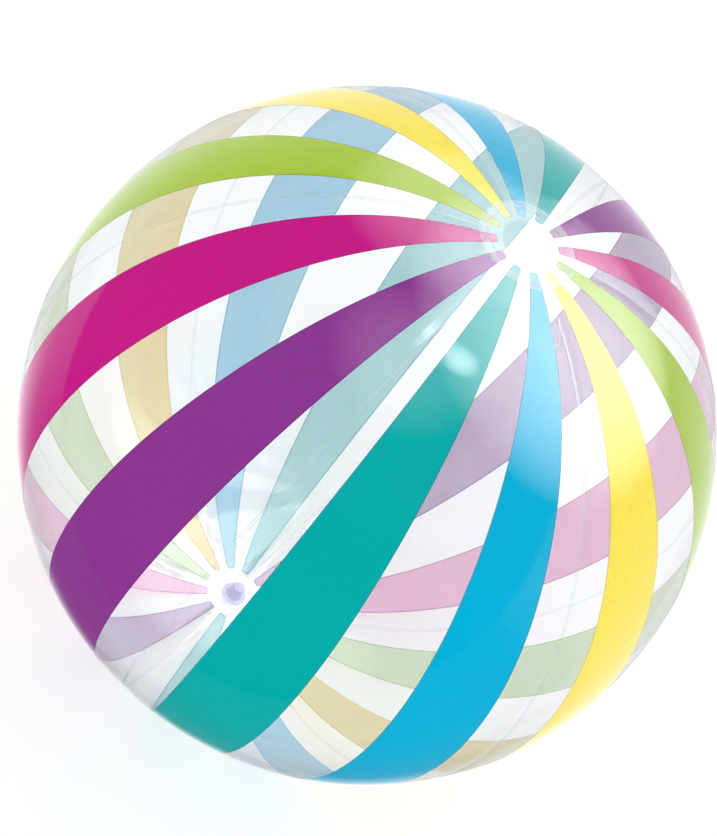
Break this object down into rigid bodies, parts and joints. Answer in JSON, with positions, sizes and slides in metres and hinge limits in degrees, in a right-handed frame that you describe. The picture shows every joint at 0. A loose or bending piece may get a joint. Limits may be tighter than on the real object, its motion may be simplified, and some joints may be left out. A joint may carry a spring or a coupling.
{
  "type": "inflatable beach ball",
  "caption": "Large see-through inflatable beach ball with coloured stripes running from pole to pole and a push-in plug valve at one pole.",
  "frame": {"origin": "centre of the inflated ball", "axes": "+Z along the pole axis, away from the valve; +X through the middle of panel_1"},
  "size_m": [0.9104, 0.9104, 0.8831],
  "materials": {
    "clear_film": "clear gloss vinyl sheet",
    "patch_film": "clear gloss vinyl sheet",
    "yellow": "gloss print",
    "green": "gloss print",
    "magenta": "gloss print",
    "purple": "gloss print",
    "teal": "gloss print",
    "blue": "gloss print",
    "valve_vinyl": "soft translucent vinyl",
    "flap_film": "soft clear vinyl"
  },
  "bodies": {
    "shell": {"panel_1": "clear_film", "panel_2": "clear_film", "panel_3": "clear_film", "panel_4": "clear_film", "panel_5": "clear_film", "panel_6": "clear_film", "yellow_stripe_1": "yellow", "green_stripe_1": "green", "magenta_stripe_1": "magenta", "purple_stripe_1": "purple", "teal_stripe_1": "teal", "blue_stripe_1": "blue", "yellow_stripe_2": "yellow", "green_stripe_2": "green", "magenta_stripe_2": "magenta", "purple_stripe_2": "purple", "teal_stripe_2": "teal", "blue_stripe_2": "blue", "pole_patch": "patch_film", "valve_patch": "patch_film", "valve_flange": "valve_vinyl", "valve_membrane": "valve_vinyl"},
    "stem": {"valve_stem": "valve_vinyl"},
    "stopper": {"valve_stopper": "valve_vinyl"},
    "flap": {"check_flap": "flap_film"}
  },
  "joints": [
    {"name": "valve_push", "type": "slide", "parent": "shell", "child": "stem", "axis": [0, 0, -1], "range_m": [0, 0.016], "deforming": ["valve_membrane"]},
    {"name": "stopper_hinge", "type": "hinge", "parent": "stem", "child": "stopper", "pos_m": [-0.0096, 0, -0.43982], "axis": [0, 1, 0], "range_deg": [0, 120]},
    {"name": "flap_hinge", "type": "hinge", "parent": "stem", "child": "flap", "pos_m": [0.0062, 0, -0.41902], "axis": [0, 1, 0], "range_deg": [0, 45], "stiffness_Nm_per_rad": 0.00002}
  ]
}
